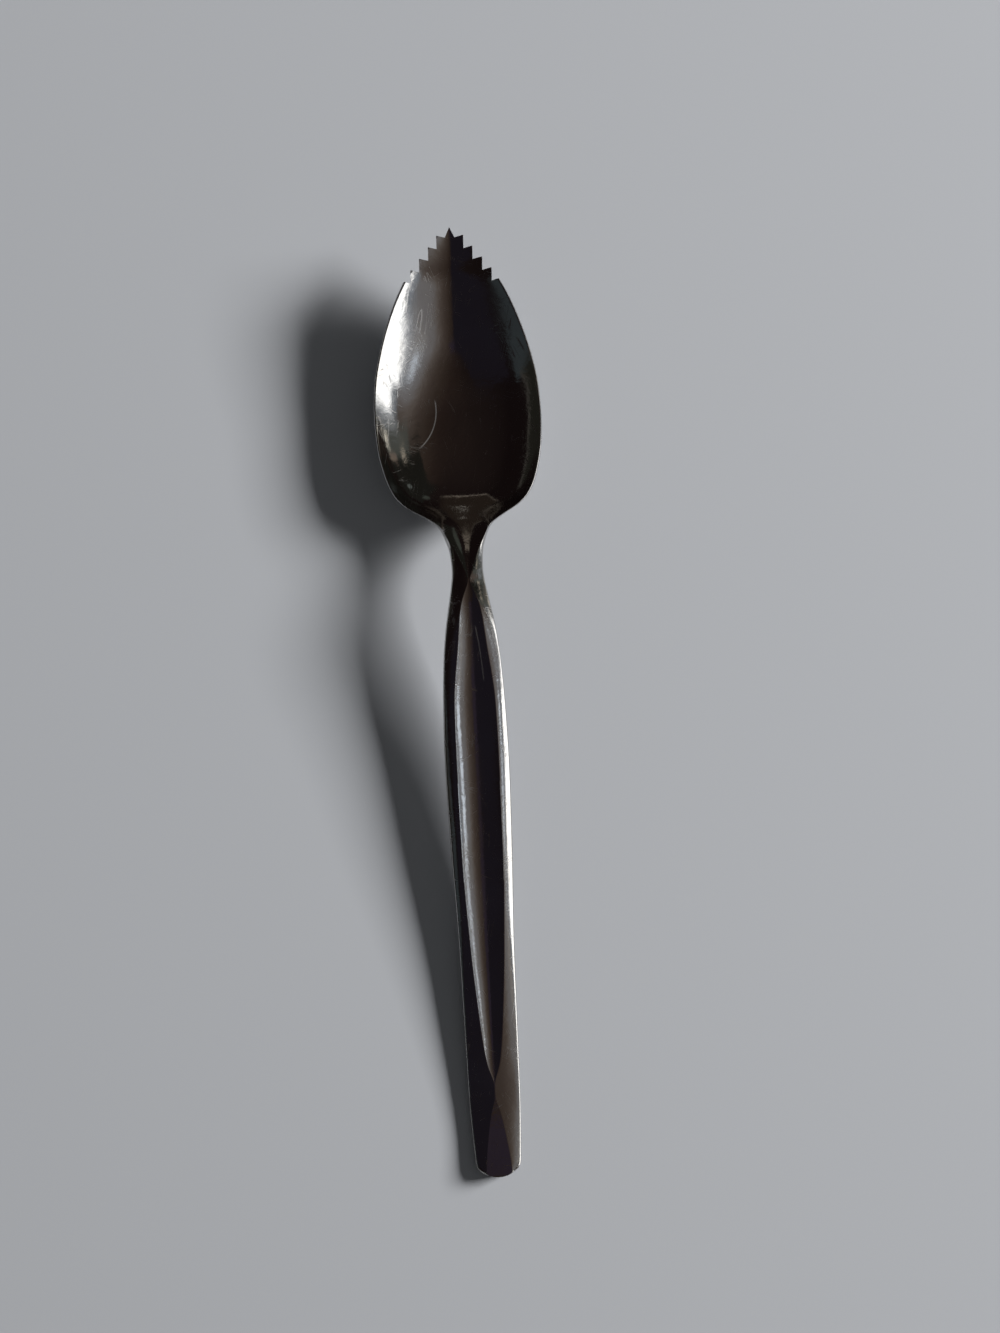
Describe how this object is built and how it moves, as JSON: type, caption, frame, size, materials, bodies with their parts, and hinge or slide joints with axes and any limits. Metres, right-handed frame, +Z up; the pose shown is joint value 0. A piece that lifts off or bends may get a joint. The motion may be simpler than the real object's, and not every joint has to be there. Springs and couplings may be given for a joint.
{
  "type": "grapefruit spoon",
  "caption": "Stainless steel fruit spoon with a pointed toothed tip, a shallow bowl, a slim neck and a bevelled handle with a lens-shaped hollow.",
  "frame": {"origin": "on the table, under the middle of the spoon's length and width", "axes": "+Y along the spoon towards the toothed tip, +Z up out of the bowl, +X to the right seen from above with the tip away"},
  "size_m": [0.0284, 0.16, 0.0097],
  "materials": {
    "steel": "worn polish with fine scratches"
  },
  "bodies": {
    "root": {"serrated_tip": "steel", "bowl": "steel", "neck": "steel", "handle": "steel"}
  },
  "joints": []
}
